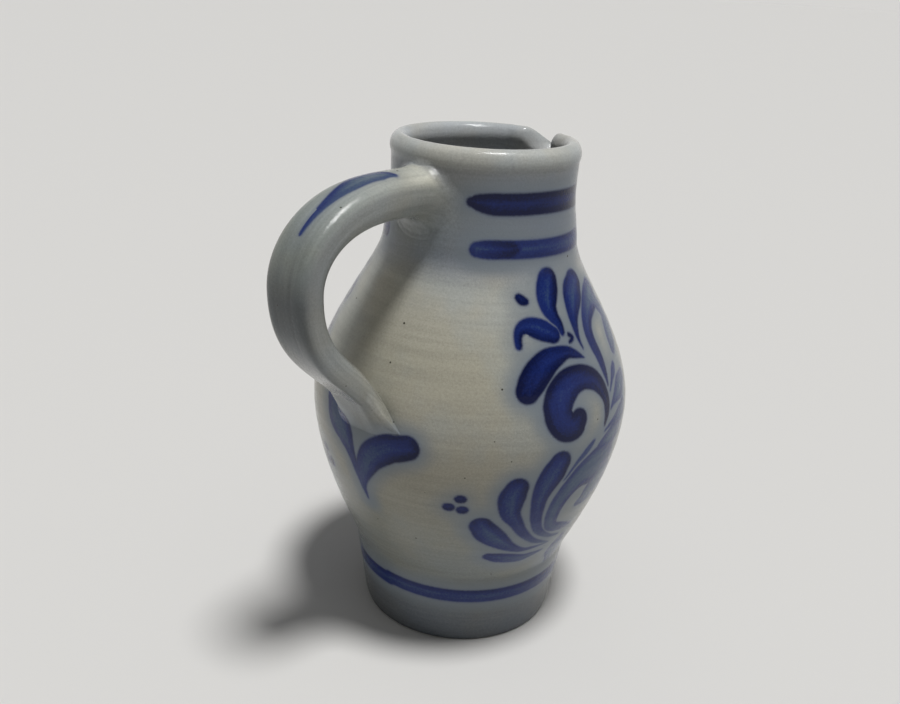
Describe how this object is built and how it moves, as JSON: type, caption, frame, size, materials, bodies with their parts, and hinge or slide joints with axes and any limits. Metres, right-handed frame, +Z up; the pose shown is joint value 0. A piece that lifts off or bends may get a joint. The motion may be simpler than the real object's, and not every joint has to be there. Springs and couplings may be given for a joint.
{
  "type": "stoneware jug",
  "caption": "Bulbous salt-glazed stoneware jug with a narrow neck, pulled pouring lip, luted strap handle and cobalt brush decoration, for pouring drinks.",
  "frame": {"origin": "middle of the flat base, on the surface that the jug stands on", "axes": "+Z up along the axis the body is thrown on, -X towards the handle, so +X points nearly along the pouring lip"},
  "size_m": [0.1793, 0.1406, 0.22],
  "materials": {
    "stoneware": "salt glaze, orange-peel sheen, cobalt brushwork",
    "handle_stoneware": "salt glaze, smoky grey",
    "luting_clay": "salt glaze over smeared clay"
  },
  "bodies": {
    "root": {"thrown_body": "stoneware", "strap_handle": "handle_stoneware", "neck_lute": "luting_clay", "belly_lute": "luting_clay"}
  },
  "joints": []
}
